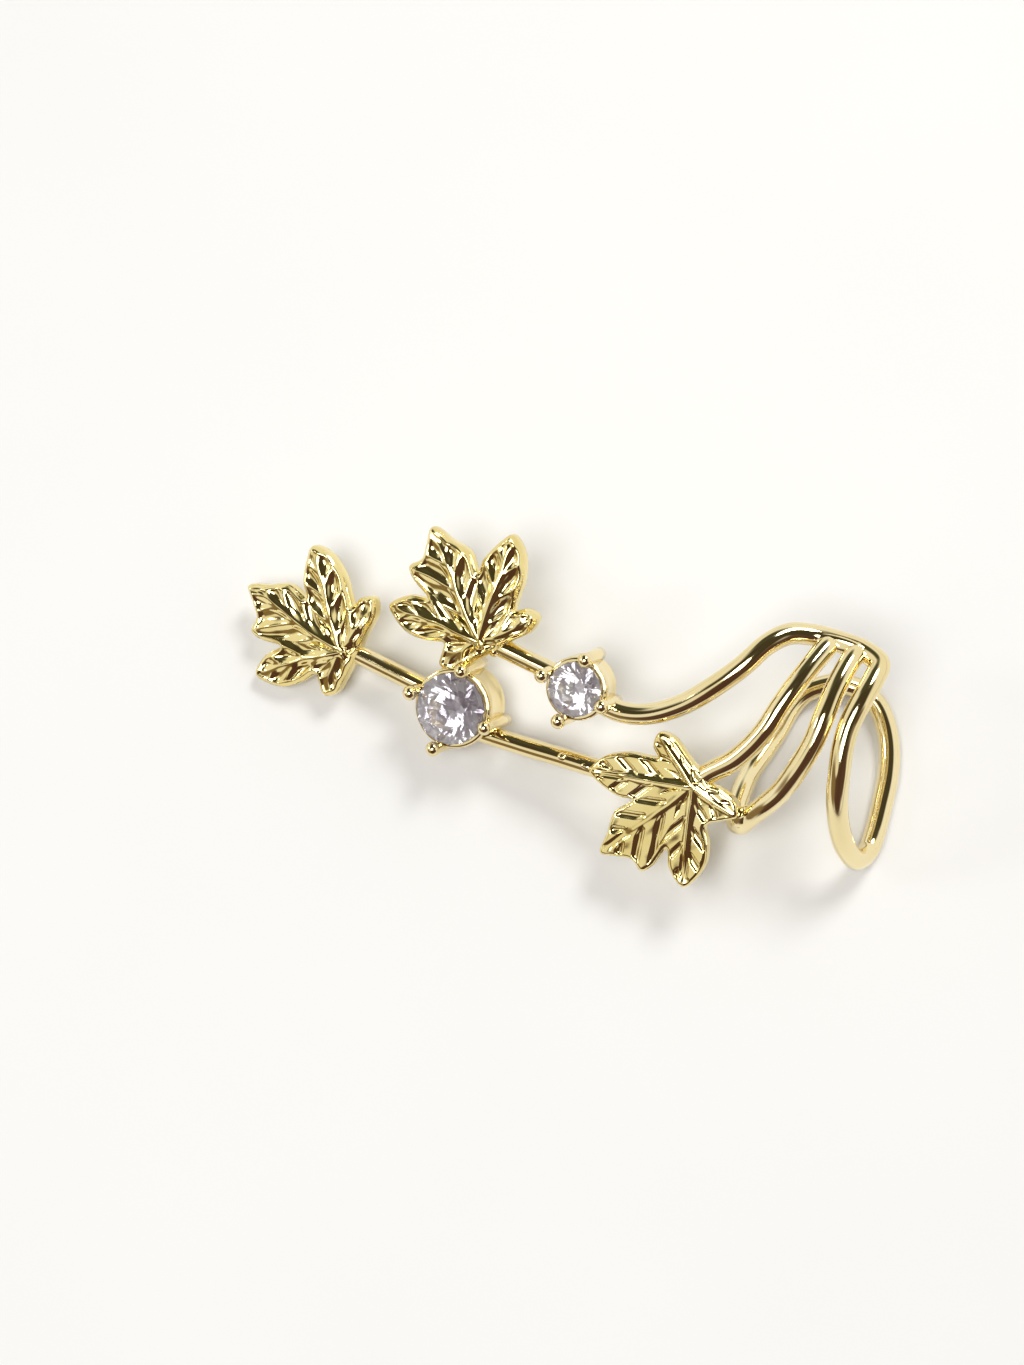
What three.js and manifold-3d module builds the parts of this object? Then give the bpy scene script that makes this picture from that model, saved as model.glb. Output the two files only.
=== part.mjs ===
// Ear cuff: three maple leaves and two set stones on a soldered wire cuff, lying on a surface.
// Millimetres, +Z up. The cuff is laid out in its own frame, whose XY plane holds the girdles of
// both stones and whose +Z is the side that shows on the ear, and is then tipped over to rest.
import * as THREE from "three";
import { mergeVertices } from "three/addons/utils/BufferGeometryUtils.js";
import { ConvexGeometry } from "three/addons/geometries/ConvexGeometry.js";
import Module from "manifold-3d";

// Stones
const largeStoneDiameter = 4.0;
const smallStoneDiameter = 3.0;
const girdleThickness = 0.12;
const stoneGap = 0.1; // between a stone and the metal round it

// Settings
const prongWire = 0.64;
const beadDiameter = 0.82;
const beadRise = 0.5; // bead centre over the girdle
const beadLean = 0.08; // bead centre inside its prong's axis
const cupWall = 0.17; // at the rim, under the girdle
const cupRimDrop = 0.3; // rim under the girdle
const cupDepthShare = 1.36; // depth of a setting for each mm of its stone's radius
const largeProngTurn = -21; // degrees, first prong from +X
const smallProngTurn = -24;
const prongFoot = 1.15; // width of a prong's foot as a share of its wire

// Wires
const wireDiameter = 1.16;
const stemDiameter = 1.06;
const seatReach = 0.42; // where a wire ends in a cup, as a share of the stone's diameter
const firstSeatDrop = 0.34; // and how deep under the girdle, as the same share
const secondSeatDrop = 0.4;
const linkSeatDrop = 0.38;
const linkSeatTurn = -56;
const outerSeatTurn = -40;
const outerSeatDrop = 0.13; // as a share of the cuff's depth
const stemDepth = 0.7; // a stem's axis under a leaf's face, as a share of its thickness

// Where the pieces sit: distance and direction from the large setting or from the named piece
const stoneSpacing = 7.31;
const stoneTurn = 11.4;
const firstStemLength = 7.21; // large setting to leaf
const firstStemTurn = 156.2;
const secondStemLength = 5.96; // small setting to leaf
const secondStemTurn = 156.9;
const linkLength = 14.11; // large setting to leaf
const linkTurn = -14.2;

// Leaves
const leafLength = 6.8; // stem to the tip of the middle lobe
const leafThickness = 0.85;
const leafDrop = 0.42; // flat of a leaf's face under the girdles
const rimRound = 0.16; // how far the edge of the face rolls down
const ribHeight = 0.26;
const ribWidth = 0.26;
const veinHeight = 0.14;
const veinPitch = 1.15;
const firstLeafTurn = 150.1;
const secondLeafTurn = 115.8;
const thirdLeafTurn = -142.1;

// Cuff
const cuffReach = 23.0; // large setting to the outer front wire
const cuffHeight = 12.5; // top bar to bottom bend
const cuffDepth = 9.1; // front plane to the back loop

// How it lies: tips from its own frame about X, then Y
const restPitch = 19.19;
const restRoll = -14.91;

// Counts
const wireSides = 10;
const stepsPerRow = 2;
const leafRings = 12;
const prongSides = 10;
const cupSides = 28;
const beadRings = 8;
const weldTolerance = 1e-4; // corners nearer than this are one

const gold = { color: 0xd9bd6a, metalness: 1.0, roughness: 0.12 };
const crystal = { color: 0xdcd6ee, metalness: 0.0, roughness: 0.03 };

// One leaf's outline, going round from its stem: direction from the middle lobe, counterclockwise
// on the face, and reach as a share of the leaf's length.
const leafOutline = [
  { turn: -150, reach: 0.14 },
  { turn: -128, reach: 0.17 },
  { turn: -113, reach: 0.26 },
  { turn: -103, reach: 0.42 },
  { turn: -92, reach: 0.51 },
  { turn: -80, reach: 0.46 },
  { turn: -73, reach: 0.37 },
  { turn: -67, reach: 0.44 },
  { turn: -60, reach: 0.62 },
  { turn: -51, reach: 0.8 },
  { turn: -42, reach: 0.89 },
  { turn: -37, reach: 0.82 },
  { turn: -27, reach: 0.66 },
  { turn: -21.5, reach: 0.54 },
  { turn: -16.5, reach: 0.72 },
  { turn: -7, reach: 0.85 },
  { turn: 0, reach: 1.0 },
  { turn: 6, reach: 0.91 },
  { turn: 13.5, reach: 0.83 },
  { turn: 21.5, reach: 0.86 },
  { turn: 25.5, reach: 0.77 },
  { turn: 29.5, reach: 0.58 },
  { turn: 36.5, reach: 0.73 },
  { turn: 46.5, reach: 0.85 },
  { turn: 53, reach: 0.78 },
  { turn: 61, reach: 0.65 },
  { turn: 66, reach: 0.49 },
  { turn: 70, reach: 0.34 },
  { turn: 81, reach: 0.37 },
  { turn: 94, reach: 0.43 },
  { turn: 107, reach: 0.38 },
  { turn: 124, reach: 0.22 },
  { turn: 150, reach: 0.14 },
  { turn: 180, reach: 0.12 },
];

// The five lobes whose midribs stand up from the face: direction and reach of each tip.
const lobes = [
  { turn: 0, reach: 1.0 },
  { turn: -42, reach: 0.89 },
  { turn: 46.5, reach: 0.85 },
  { turn: -92, reach: 0.51 },
  { turn: 94, reach: 0.43 },
];

// Routes of the wires, as shares of the cuff's reach, height and depth.
const outerRoute = [
  { along: 0.42, rise: 0.013, back: 0.121 },
  { along: 0.481, rise: 0.015, back: 0.121 },
  { along: 0.558, rise: 0.062, back: 0.121 },
  { along: 0.629, rise: 0.141, back: 0.121 },
  { along: 0.699, rise: 0.24, back: 0.143 },
  { along: 0.75, rise: 0.331, back: 0.209 },
  { along: 0.794, rise: 0.371, back: 0.286 },
  { along: 0.841, rise: 0.366, back: 0.341 },
  { along: 0.904, rise: 0.339, back: 0.363 },
  { along: 0.961, rise: 0.306, back: 0.352 },
  { along: 1.0, rise: 0.26, back: 0.297 },
  { along: 0.995, rise: 0.204, back: 0.22 },
  { along: 0.975, rise: 0.122, back: 0.143 },
  { along: 0.952, rise: 0.024, back: 0.099 },
  { along: 0.939, rise: -0.076, back: 0.077 },
  { along: 0.932, rise: -0.191, back: 0.077 },
  { along: 0.925, rise: -0.303, back: 0.121 },
  { along: 0.922, rise: -0.431, back: 0.231 },
  { along: 0.927, rise: -0.553, back: 0.385 },
  { along: 0.941, rise: -0.622, back: 0.549 },
  { along: 0.956, rise: -0.603, back: 0.681 },
  { along: 0.966, rise: -0.533, back: 0.758 },
  { along: 0.976, rise: -0.417, back: 0.829 },
  { along: 0.984, rise: -0.295, back: 0.893 },
  { along: 0.982, rise: -0.186, back: 0.945 },
  { along: 0.969, rise: -0.084, back: 0.985 },
  { along: 0.944, rise: 0.004, back: 1.012 },
  { along: 0.902, rise: 0.067, back: 1.015 },
  { along: 0.855, rise: 0.091, back: 0.996 },
  { along: 0.809, rise: 0.077, back: 0.961 },
  { along: 0.774, rise: 0.046, back: 0.921 },
  { along: 0.745, rise: -0.018, back: 0.865 },
  { along: 0.723, rise: -0.111, back: 0.79 },
  { along: 0.701, rise: -0.188, back: 0.702 },
  { along: 0.68, rise: -0.266, back: 0.592 },
  { along: 0.67, rise: -0.336, back: 0.471 },
  { along: 0.667, rise: -0.398, back: 0.374 },
  { along: 0.673, rise: -0.448, back: 0.297 },
  { along: 0.692, rise: -0.452, back: 0.22 },
  { along: 0.721, rise: -0.406, back: 0.15 },
  { along: 0.754, rise: -0.354, back: 0.11 },
  { along: 0.798, rise: -0.277, back: 0.088 },
  { along: 0.836, rise: -0.179, back: 0.066 },
  { along: 0.872, rise: -0.061, back: 0.066 },
];

// The link from the large setting to the third leaf: distance as a share of its length, direction
// and depth as a share of a stem's depth under the girdles.
const linkRoute = [
  { reach: 0.314, turn: -28.0, drop: 1.34 },
  { reach: 0.441, turn: -23.3, drop: 1.26 },
  { reach: 0.544, turn: -21.2, drop: 1.18 },
  { reach: 0.624, turn: -20.0, drop: 1.1 },
  { reach: 0.79, turn: -17.8, drop: 1 },
];

// A cup's outer wall and floor from the bore up to the rim: radius as a share of the bore's or the
// wall's, and depth as a share of the cup's.
const cupBore = { reach: 0.45, top: 0.75 };
const cupProfile = [
  { reach: 0.9, drop: 1 },
  { reach: 1, drop: 0.88 },
  { reach: 0.97, drop: 0.5 },
  { reach: 1, drop: 0.36 },
];
const cupLip = 0.97;

// The rings of a round brilliant: corners, turn, radius and height as shares of the stone's radius.
const cutRings = [
  { sides: 8, turn: 0, reach: 0.56, height: 0.36 },
  { sides: 8, turn: 22.5, reach: 0.785, height: 0.23 },
  { sides: 8, turn: 22.5, reach: 0.22, height: -0.7 },
  { sides: 1, turn: 0, reach: 0, height: -0.87 },
];
const girdleSides = 16;

const thirdFrontRoute = [
  { along: 0.836, rise: -0.179, back: 0.066 },
  { along: 0.872, rise: -0.061, back: 0.066 },
  { along: 0.894, rise: 0.053, back: 0.088 },
  { along: 0.912, rise: 0.157, back: 0.154 },
  { along: 0.93, rise: 0.243, back: 0.231 },
  { along: 0.948, rise: 0.315, back: 0.341 },
];

const secondFrontRoute = [
  { along: 0.889, rise: 0.343, back: 0.352 },
  { along: 0.863, rise: 0.286, back: 0.253 },
  { along: 0.834, rise: 0.202, back: 0.176 },
  { along: 0.792, rise: 0.082, back: 0.11 },
  { along: 0.754, rise: -0.034, back: 0.088 },
  { along: 0.691, rise: -0.152, back: 0.088 },
  { along: 0.618, rise: -0.233, back: 0.11 },
];

const wasm = await Module();
wasm.setup();

function polar(distance, degrees, height = 0) {
  const angle = THREE.MathUtils.degToRad(degrees);
  return new THREE.Vector3(distance * Math.cos(angle), distance * Math.sin(angle), height);
}

// A closed geometry as a solid that can be joined to others.
function solid(geometry) {
  const bare = geometry.clone();
  bare.deleteAttribute("normal");
  bare.deleteAttribute("uv");
  const merged = mergeVertices(bare, weldTolerance);
  return new wasm.Manifold(
    new wasm.Mesh({
      numProp: 3,
      vertProperties: new Float32Array(merged.attributes.position.array),
      triVerts: new Uint32Array(merged.index.array),
    }),
  );
}

function joined(geometries) {
  const whole = geometries.map(solid).reduce((sum, piece) => sum.add(piece));
  const mesh = whole.getMesh();
  const geometry = new THREE.BufferGeometry();
  geometry.setAttribute("position", new THREE.BufferAttribute(mesh.vertProperties, 3));
  geometry.setIndex(new THREE.BufferAttribute(mesh.triVerts, 1));
  geometry.computeVertexNormals();
  return geometry;
}

// A round wire along a smooth curve through the given points.
function wire(points, diameter) {
  const section = new THREE.Shape();
  for (let side = 0; side < wireSides; side += 1) {
    const angle = (2 * Math.PI * side) / wireSides;
    const x = (diameter / 2) * Math.cos(angle);
    const y = (diameter / 2) * Math.sin(angle);
    if (side === 0) {
      section.moveTo(x, y);
    } else {
      section.lineTo(x, y);
    }
  }
  return new THREE.ExtrudeGeometry(section, {
    steps: (points.length - 1) * stepsPerRow,
    extrudePath: new THREE.CatmullRomCurve3(points, false, "centripetal"),
    bevelEnabled: false,
  });
}

function routePoints(route) {
  return route.map(
    (row) => new THREE.Vector3(row.along * cuffReach, row.rise * cuffHeight, -row.back * cuffDepth),
  );
}

// Height of the raised veins at a point of the leaf's face. The midrib of each lobe falls off to
// both sides and towards its tip, and side veins leave it in a herringbone.
function relief(x, y) {
  const turn = THREE.MathUtils.radToDeg(Math.atan2(y, x));
  let nearest = lobes[0];
  let ribs = 0;
  for (const lobe of lobes) {
    const angle = THREE.MathUtils.degToRad(lobe.turn);
    const along = x * Math.cos(angle) + y * Math.sin(angle);
    const across = Math.abs(y * Math.cos(angle) - x * Math.sin(angle));
    const share = along / (lobe.reach * leafLength);
    if (share > 0 && share < 1) {
      const fall = Math.exp(-((across / ribWidth) ** 2));
      ribs = Math.max(ribs, ribHeight * fall * (1 - share ** 3));
    }
    if (Math.abs(turn - lobe.turn) < Math.abs(turn - nearest.turn)) {
      nearest = lobe;
    }
  }
  const angle = THREE.MathUtils.degToRad(nearest.turn);
  const along = x * Math.cos(angle) + y * Math.sin(angle);
  const across = Math.abs(y * Math.cos(angle) - x * Math.sin(angle));
  const wave = Math.cos((2 * Math.PI * (along - across)) / veinPitch);
  const veins = (veinHeight * (1 + wave)) / 2;
  return Math.max(ribs, veins);
}

// A leaf: its face is a fan of rings from the stem's end out to the outline, its back is flat.
function leaf() {
  const corners = leafOutline.map((row) => polar(row.reach * leafLength, row.turn));
  const outline = new THREE.CatmullRomCurve3(corners, true, "centripetal");
  const count = leafOutline.length * 2;
  const positions = [0, 0, relief(0, 0)];
  for (let ring = 1; ring <= leafRings; ring += 1) {
    const share = ring / leafRings;
    for (let step = 0; step < count; step += 1) {
      const rim = outline.getPoint(step / count);
      const x = rim.x * share;
      const y = rim.y * share;
      const edge = ring === leafRings;
      positions.push(x, y, edge ? -rimRound : relief(x, y));
    }
  }
  const backStart = positions.length / 3;
  for (let step = 0; step < count; step += 1) {
    const rim = outline.getPoint(step / count);
    positions.push(rim.x, rim.y, -leafThickness);
  }
  const backCentre = positions.length / 3;
  positions.push(0, 0, -leafThickness);

  const faces = [];
  for (let step = 0; step < count; step += 1) {
    const next = (step + 1) % count;
    faces.push(0, 1 + step, 1 + next);
    for (let ring = 0; ring < leafRings; ring += 1) {
      const inner = 1 + ring * count;
      const outer = inner + count;
      faces.push(inner + step, outer + step, outer + next);
      faces.push(inner + step, outer + next, inner + next);
    }
    faces.push(backCentre, backStart + next, backStart + step);
  }
  const geometry = new THREE.BufferGeometry();
  geometry.setAttribute("position", new THREE.Float32BufferAttribute(positions, 3));
  geometry.setIndex(faces);
  return geometry;
}

function placedLeaf(place, turn) {
  const geometry = leaf();
  geometry.rotateZ(THREE.MathUtils.degToRad(turn));
  geometry.translate(place.x, place.y, -leafDrop);
  return geometry;
}

function settingDepth(stoneDiameter) {
  return (cupDepthShare * stoneDiameter) / 2;
}

// The open cup under a stone, turned round its axis; the girdle is at height 0.
function cup(stoneDiameter) {
  const radius = stoneDiameter / 2;
  const depth = settingDepth(stoneDiameter);
  const wall = radius + stoneGap + prongWire / 4;
  const rim = new THREE.Vector2(radius - cupWall, -cupRimDrop);
  const profile = [
    rim,
    new THREE.Vector2(radius * cupBore.reach, -depth * cupBore.top),
    new THREE.Vector2(radius * cupBore.reach, -depth),
    ...cupProfile.map((row) => new THREE.Vector2(wall * row.reach, -depth * row.drop)),
    new THREE.Vector2(wall * cupLip, -cupRimDrop),
    rim,
  ];
  const geometry = new THREE.LatheGeometry(profile, cupSides);
  geometry.rotateX(Math.PI / 2);
  return geometry;
}

function prongs(stoneDiameter, firstTurn) {
  const axisRadius = stoneDiameter / 2 + stoneGap + prongWire / 2;
  const depth = settingDepth(stoneDiameter);
  const pieces = [];
  for (let index = 0; index < 4; index += 1) {
    const turn = firstTurn + 90 * index;
    const post = new THREE.CylinderGeometry(
      prongWire / 2,
      (prongWire * prongFoot) / 2,
      depth + beadRise,
      prongSides,
    );
    post.rotateX(Math.PI / 2);
    const middle = polar(axisRadius, turn, (beadRise - depth) / 2);
    post.translate(middle.x, middle.y, middle.z);
    const bead = new THREE.SphereGeometry(beadDiameter / 2, prongSides, beadRings);
    const top = polar(axisRadius - beadLean, turn, beadRise);
    bead.translate(top.x, top.y, top.z);
    pieces.push(post, bead);
  }
  return pieces;
}

function placedSetting(place, stoneDiameter, firstTurn) {
  const pieces = [cup(stoneDiameter), ...prongs(stoneDiameter, firstTurn)];
  for (const piece of pieces) {
    piece.translate(place.x, place.y, 0);
  }
  return pieces;
}

// A round brilliant: its rings of corners and the flat facets between them.
function brilliant(diameter) {
  const radius = diameter / 2;
  const corners = [];
  for (const ring of cutRings) {
    for (let side = 0; side < ring.sides; side += 1) {
      const turn = ring.turn + (360 * side) / ring.sides;
      corners.push(polar(ring.reach * radius, turn, ring.height * radius));
    }
  }
  for (let side = 0; side < girdleSides; side += 1) {
    const turn = (360 * side) / girdleSides;
    corners.push(polar(radius, turn, girdleThickness / 2));
    corners.push(polar(radius, turn, -girdleThickness / 2));
  }
  return new ConvexGeometry(corners);
}

function stone(name, diameter, place) {
  const mesh = new THREE.Mesh(brilliant(diameter), new THREE.MeshStandardMaterial(crystal));
  mesh.name = name;
  mesh.position.copy(place);
  return mesh;
}

const largePlace = new THREE.Vector3(0, 0, 0);
const smallPlace = polar(stoneSpacing, stoneTurn);
const firstLeafPlace = polar(firstStemLength, firstStemTurn);
const secondLeafPlace = polar(secondStemLength, secondStemTurn).add(smallPlace);
const thirdLeafPlace = polar(linkLength, linkTurn);
const stemDrop = leafDrop + leafThickness * stemDepth;

// Where a wire ends in the wall of a cup, from the middle of its stone.
function seat(stoneDiameter, turn, drop) {
  return polar(seatReach * stoneDiameter, turn, -drop);
}

function frameGeometry() {
  const first = wire(
    [
      firstLeafPlace.clone().setZ(-stemDrop),
      seat(largeStoneDiameter, firstStemTurn, firstSeatDrop * largeStoneDiameter),
    ],
    stemDiameter,
  );
  const second = wire(
    [
      secondLeafPlace.clone().setZ(-stemDrop),
      seat(smallStoneDiameter, secondStemTurn, secondSeatDrop * smallStoneDiameter).add(smallPlace),
    ],
    stemDiameter,
  );
  const link = wire(
    [
      seat(largeStoneDiameter, linkSeatTurn, linkSeatDrop * largeStoneDiameter),
      ...linkRoute.map((row) => polar(linkLength * row.reach, row.turn, -stemDrop * row.drop)),
    ],
    stemDiameter,
  );
  const outer = wire(
    [
      seat(smallStoneDiameter, outerSeatTurn, outerSeatDrop * cuffDepth).add(smallPlace),
      ...routePoints(outerRoute),
    ],
    wireDiameter,
  );
  const thirdFront = wire(routePoints(thirdFrontRoute), wireDiameter);
  const secondFront = wire(
    [...routePoints(secondFrontRoute), thirdLeafPlace.clone().setZ(-stemDrop)],
    wireDiameter,
  );
  return joined([
    placedLeaf(firstLeafPlace, firstLeafTurn),
    placedLeaf(secondLeafPlace, secondLeafTurn),
    placedLeaf(thirdLeafPlace, thirdLeafTurn),
    ...placedSetting(largePlace, largeStoneDiameter, largeProngTurn),
    ...placedSetting(smallPlace, smallStoneDiameter, smallProngTurn),
    first,
    second,
    link,
    outer,
    thirdFront,
    secondFront,
  ]);
}

const frame = new THREE.Mesh(frameGeometry(), new THREE.MeshStandardMaterial(gold));
frame.name = "cuff_frame";

const cuff = new THREE.Group();
cuff.add(frame);
cuff.add(stone("large_stone", largeStoneDiameter, largePlace));
cuff.add(stone("small_stone", smallStoneDiameter, smallPlace));
cuff.rotation.set(THREE.MathUtils.degToRad(restPitch), THREE.MathUtils.degToRad(restRoll), 0, "XYZ");

// The origin is the middle of the bottom of the box round the whole cuff as it lies.
const box = new THREE.Box3().setFromObject(cuff, true);
cuff.position.set(-(box.min.x + box.max.x) / 2, -(box.min.y + box.max.y) / 2, -box.min.z);

const part = new THREE.Group();
part.add(cuff);

export default part;
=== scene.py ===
# Ear cuff of polished gold wire: three cast maple leaves, two claw-set stones and a soldered wire
# cuff, lying on a pale table. The shapes are worked out in the cuff's own frame, in millimetres,
# whose XY plane holds both girdles, and are tipped over into the model's frame as they are made.
import math
import bpy
import numpy as np
from mathutils import Matrix, Vector


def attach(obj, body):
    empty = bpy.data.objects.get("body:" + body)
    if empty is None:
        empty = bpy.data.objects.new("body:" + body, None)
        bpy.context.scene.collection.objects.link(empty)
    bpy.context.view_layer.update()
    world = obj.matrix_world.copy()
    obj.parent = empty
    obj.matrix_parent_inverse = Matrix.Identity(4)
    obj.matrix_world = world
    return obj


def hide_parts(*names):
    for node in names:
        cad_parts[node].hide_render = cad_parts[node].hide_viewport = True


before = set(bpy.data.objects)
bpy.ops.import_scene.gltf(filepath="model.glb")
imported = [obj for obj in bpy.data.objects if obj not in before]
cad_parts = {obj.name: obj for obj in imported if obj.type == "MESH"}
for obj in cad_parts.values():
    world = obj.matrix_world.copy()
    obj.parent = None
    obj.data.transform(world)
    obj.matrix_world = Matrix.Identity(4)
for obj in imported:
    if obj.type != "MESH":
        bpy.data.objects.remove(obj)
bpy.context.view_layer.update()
print("frame loaded")

# how the cuff lies: its turn about X in degrees, made after the one about Y, and the place of the
# large stone's girdle in mm
rest = {"pitch": 19.19, "roll": -14.91, "place": (-6.345445, -0.11979, 3.719685)}


def restTurn():
    # the product of the turn about X and the turn about Y
    p, r = math.radians(rest["pitch"]), math.radians(rest["roll"])
    aboutX = np.array([[1, 0, 0], [0, math.cos(p), -math.sin(p)], [0, math.sin(p), math.cos(p)]])
    aboutY = np.array([[math.cos(r), 0, math.sin(r)], [0, 1, 0], [-math.sin(r), 0, math.cos(r)]])
    return aboutX @ aboutY


turnToRest = restTurn()


def aboutZ(degrees):
    # the turn about Z
    a = math.radians(degrees)
    return np.array([[math.cos(a), -math.sin(a), 0], [math.sin(a), math.cos(a), 0], [0, 0, 1]])


def toModel(points):
    # own frame in mm to the model's frame in metres
    return (np.asarray(points, float) @ turnToRest.T + np.array(rest["place"])) * 0.001


def polar(distance, degrees, height=0.0):
    # a point at a distance from Z and a turn from +X, at a height
    angle = np.radians(degrees)
    return np.array([distance * np.cos(angle), distance * np.sin(angle), height])


def unit(vectors):
    # each vector over its own length
    return vectors / np.linalg.norm(vectors, axis=-1, keepdims=True)


def smoothStep(low, high, x):
    # 0 below low, 1 above high, and a cubic ease between them
    t = np.clip((x - low) / (high - low), 0, 1)
    return t * t * (3 - 2 * t)


def smoothCurve(points, perSpan, closed=False):
    # centripetal Catmull-Rom: each span is a blend of four points, with knots spaced by the square
    # root of the chords, and the end points mirrored where the curve is open
    points = np.asarray(points, float)
    if closed:
        p = np.concatenate([points[-1:], points, points[:2]])
    else:
        p = np.concatenate([2 * points[:1] - points[1:2], points, 2 * points[-1:] - points[-2:-1]])
    a, b, c, d = p[:-3], p[1:-2], p[2:-1], p[3:]
    chords = ((a, b), (b, c), (c, d))
    step = [np.sqrt(np.linalg.norm(y - x, axis=1))[:, None, None] for x, y in chords]
    t0 = np.zeros_like(step[0])
    t1 = t0 + step[0]
    t2 = t1 + step[1]
    t3 = t2 + step[2]
    share = np.linspace(0, 1, perSpan, endpoint=False)[None, :, None]
    t = t1 + (t2 - t1) * share
    a, b, c, d = (x[:, None, :] for x in (a, b, c, d))
    ab = (t1 - t) / (t1 - t0) * a + (t - t0) / (t1 - t0) * b
    bc = (t2 - t) / (t2 - t1) * b + (t - t1) / (t2 - t1) * c
    cd = (t3 - t) / (t3 - t2) * c + (t - t2) / (t3 - t2) * d
    abc = (t2 - t) / (t2 - t0) * ab + (t - t0) / (t2 - t0) * bc
    bcd = (t3 - t) / (t3 - t1) * bc + (t - t1) / (t3 - t1) * cd
    curve = ((t2 - t) / (t2 - t1) * abc + (t - t1) / (t2 - t1) * bcd).reshape(-1, points.shape[1])
    return curve if closed else np.concatenate([curve, points[-1:]])


def skin(name, surfaces, material):
    # each surface is rows of points that go once round, joined by quads. Both its end rows close
    # on their middles, unless the last row meets the first: such rows close on themselves.
    # A shell whose volume comes out negative is turned over.
    corners, loops, totals, count = [], [], [], 0
    for rows in surfaces:
        ring = np.allclose(rows[0], rows[-1])
        rows = toModel(rows[:-1] if ring else rows)
        n, m = rows.shape[:2]
        grid = np.arange(n * m).reshape(n, m)
        here = grid if ring else grid[:-1]
        ahead = np.roll(grid, -1, axis=0)[:len(here)]
        nextHere, nextAhead = np.roll(here, -1, axis=1), np.roll(ahead, -1, axis=1)
        quads = np.stack([here, nextHere, nextAhead, ahead], axis=-1).reshape(-1, 4)
        points, fans = rows.reshape(-1, 3), np.zeros((0, 3), int)
        if not ring:
            points = np.concatenate([points, rows[0].mean(0)[None], rows[-1].mean(0)[None]])
            first = np.stack([np.full(m, n * m), np.roll(grid[0], -1), grid[0]], axis=-1)
            last = np.stack([np.full(m, n * m + 1), grid[-1], np.roll(grid[-1], -1)], axis=-1)
            fans = np.concatenate([first, last])
        triangles = np.concatenate([quads[:, :3], quads[:, [0, 2, 3]], fans])
        x, y, z = (points[triangles[:, k]] - points.mean(0) for k in range(3))
        if np.einsum("ij,ij->i", x, np.cross(y, z)).sum() < 0:
            quads, fans = quads[:, ::-1], fans[:, ::-1]
        corners.append(points)
        loops += [quads.reshape(-1) + count, fans.reshape(-1) + count]
        totals += [np.full(len(quads), 4), np.full(len(fans), 3)]
        count += len(points)
    corners, loops, totals = np.concatenate(corners), np.concatenate(loops), np.concatenate(totals)
    mesh = bpy.data.meshes.new(name)
    mesh.vertices.add(len(corners))
    mesh.vertices.foreach_set("co", corners.reshape(-1).astype(np.float32))
    mesh.loops.add(len(loops))
    mesh.loops.foreach_set("vertex_index", loops.astype(np.int32))
    mesh.polygons.add(len(totals))
    starts = np.concatenate([[0], np.cumsum(totals)[:-1]])
    mesh.polygons.foreach_set("loop_start", starts.astype(np.int32))
    mesh.polygons.foreach_set("loop_total", totals.astype(np.int32))
    mesh.polygons.foreach_set("use_smooth", np.ones(len(totals), bool))
    mesh.update(calc_edges=True)
    mesh.materials.append(material)
    piece = bpy.data.objects.new(name, mesh)
    bpy.context.scene.collection.objects.link(piece)
    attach(piece, "root")
    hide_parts("cuff_frame")
    print(name, int((totals - 2).sum()), "triangles")


# the finishes

def nodeMaterial(name):
    # a new material, its nodes and links, its shader, and the node that gives Object coordinates
    material = bpy.data.materials.new(name)
    material.use_nodes = True
    nodes, links = material.node_tree.nodes, material.node_tree.links
    shader = nodes["Principled BSDF"]
    place = nodes.new("ShaderNodeTexCoord")
    return material, nodes, links, shader, place


def cloudiness(nodes, links, place, scale, detail):
    # slow noise that follows the object
    noise = nodes.new("ShaderNodeTexNoise")
    noise.inputs["Scale"].default_value = scale
    noise.inputs["Detail"].default_value = detail
    links.new(place.outputs["Object"], noise.inputs["Vector"])
    return noise.outputs["Fac"]


def toneRamp(nodes, links, amount, tones):
    # the colour that stands at this amount on a ramp of places and colours
    ramp = nodes.new("ShaderNodeValToRGB")
    for position, _ in tones[1:-1]:
        ramp.color_ramp.elements.new(position)
    for element, (position, colour) in zip(ramp.color_ramp.elements, tones):
        element.position, element.color = position, (*colour, 1)
    links.new(amount, ramp.inputs["Fac"])
    return ramp.outputs["Color"]


def polishedGold(name, look):
    # plated metal: two near tones of one gold in slow clouds, a polish that varies a little, and
    # the ripple that tumbling and casting leave
    material, nodes, links, shader, place = nodeMaterial(name)
    tone = cloudiness(nodes, links, place, look["toneScale"], 3)
    links.new(toneRamp(nodes, links, tone, look["tones"]), shader.inputs["Base Color"])
    shader.inputs["Metallic"].default_value = 1.0
    polish = nodes.new("ShaderNodeMapRange")
    polish.inputs["To Min"].default_value, polish.inputs["To Max"].default_value = look["polish"]
    links.new(cloudiness(nodes, links, place, look["grainScale"], 4), polish.inputs["Value"])
    links.new(polish.outputs["Result"], shader.inputs["Roughness"])
    bump = nodes.new("ShaderNodeBump")
    bump.inputs["Strength"].default_value = look["rippleStrength"]
    bump.inputs["Distance"].default_value = look["rippleDepth"]
    links.new(cloudiness(nodes, links, place, look["rippleScale"], 2), bump.inputs["Height"])
    links.new(bump.outputs["Normal"], shader.inputs["Normal"])
    return material


wireGold = polishedGold("wireGold", {
    "tones": ((0.3, (0.85, 0.71, 0.37)), (0.72, (0.92, 0.80, 0.49))), "toneScale": 160.0,
    "polish": (0.05, 0.1), "grainScale": 2600.0,
    "rippleScale": 520.0, "rippleStrength": 0.25, "rippleDepth": 0.00005})
castGold = polishedGold("castGold", {
    "tones": ((0.3, (0.82, 0.66, 0.26)), (0.72, (0.91, 0.79, 0.40))), "toneScale": 420.0,
    "polish": (0.06, 0.12), "grainScale": 3200.0,
    "rippleScale": 2200.0, "rippleStrength": 0.15, "rippleDepth": 0.00002})

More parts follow.
